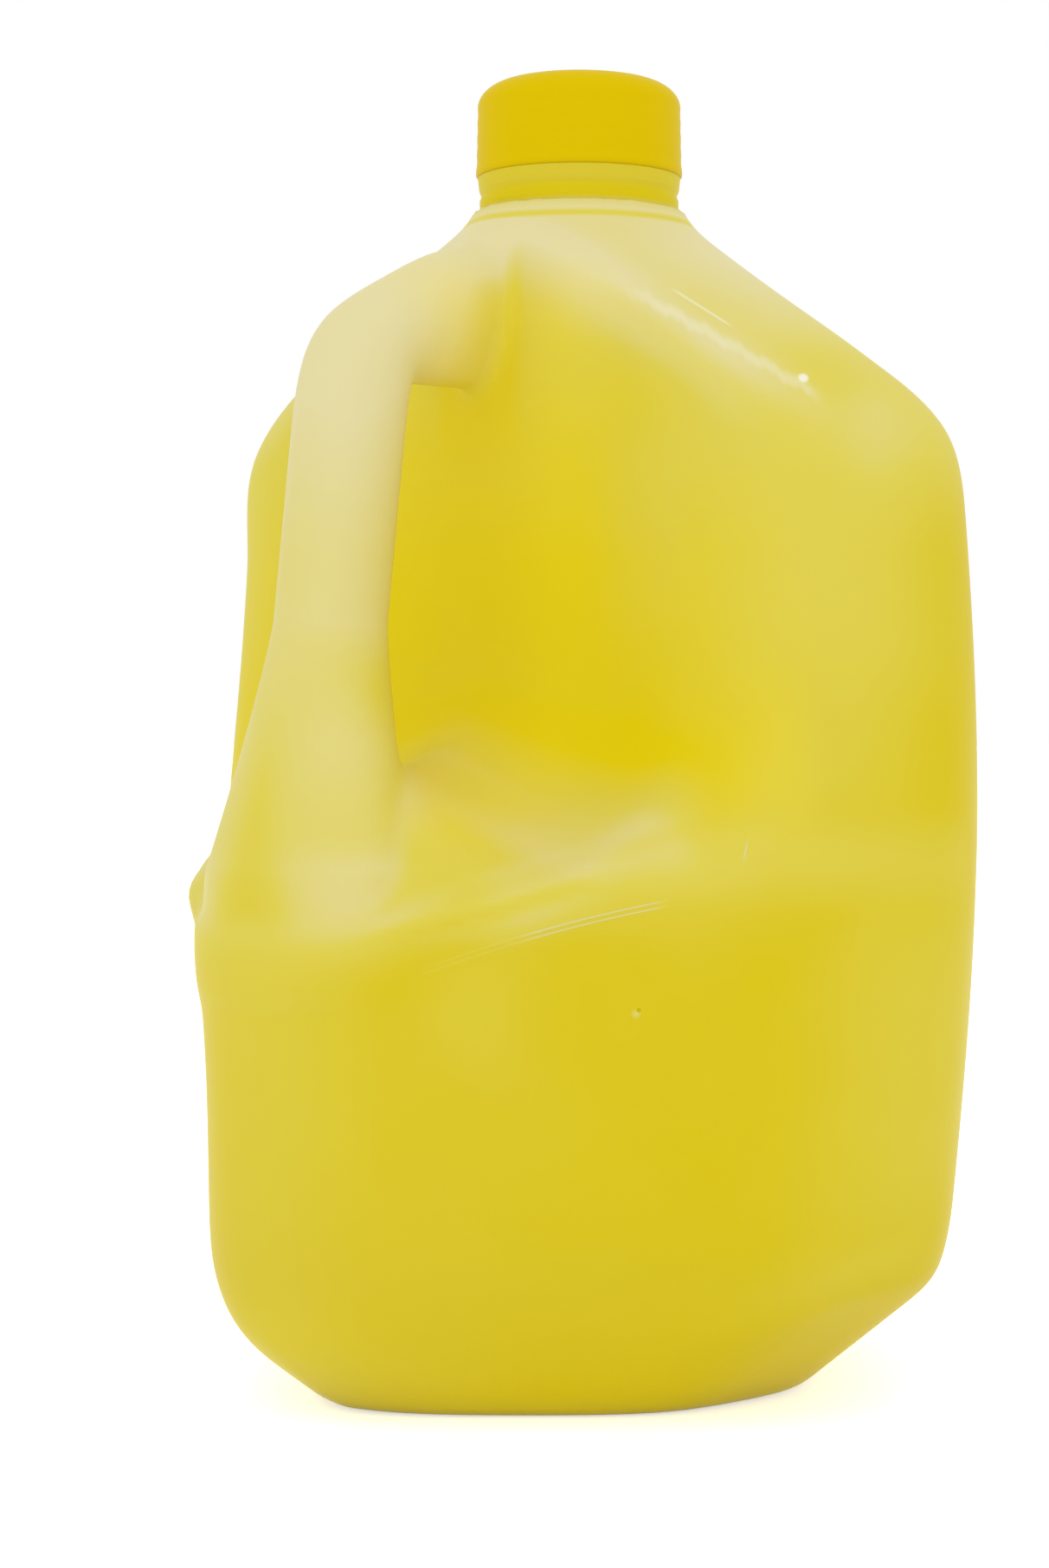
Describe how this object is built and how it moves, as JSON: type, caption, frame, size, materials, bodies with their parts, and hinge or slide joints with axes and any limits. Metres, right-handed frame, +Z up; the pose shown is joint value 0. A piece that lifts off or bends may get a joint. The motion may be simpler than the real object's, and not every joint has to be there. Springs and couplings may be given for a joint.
{
  "type": "lemonade jug",
  "caption": "Full plastic lemonade jug with a square body, sloping shoulders, a moulded hollow handle over a finger pocket, and a round screw cap.",
  "frame": {"origin": "middle of the base, on the axis of the neck", "axes": "+Z up along the neck; the handle stands at the -X corner; +Y completes the frame, and the jug is alike on both sides of the XZ plane"},
  "size_m": [0.1848, 0.184, 0.265],
  "materials": {
    "jug": "milky, slightly waxy, lets light through",
    "lemonade": "cloudy drink",
    "cap": "smooth satin"
  },
  "bodies": {
    "root": {"jug": "jug", "lemonade": "lemonade", "cap": "cap"}
  },
  "joints": []
}
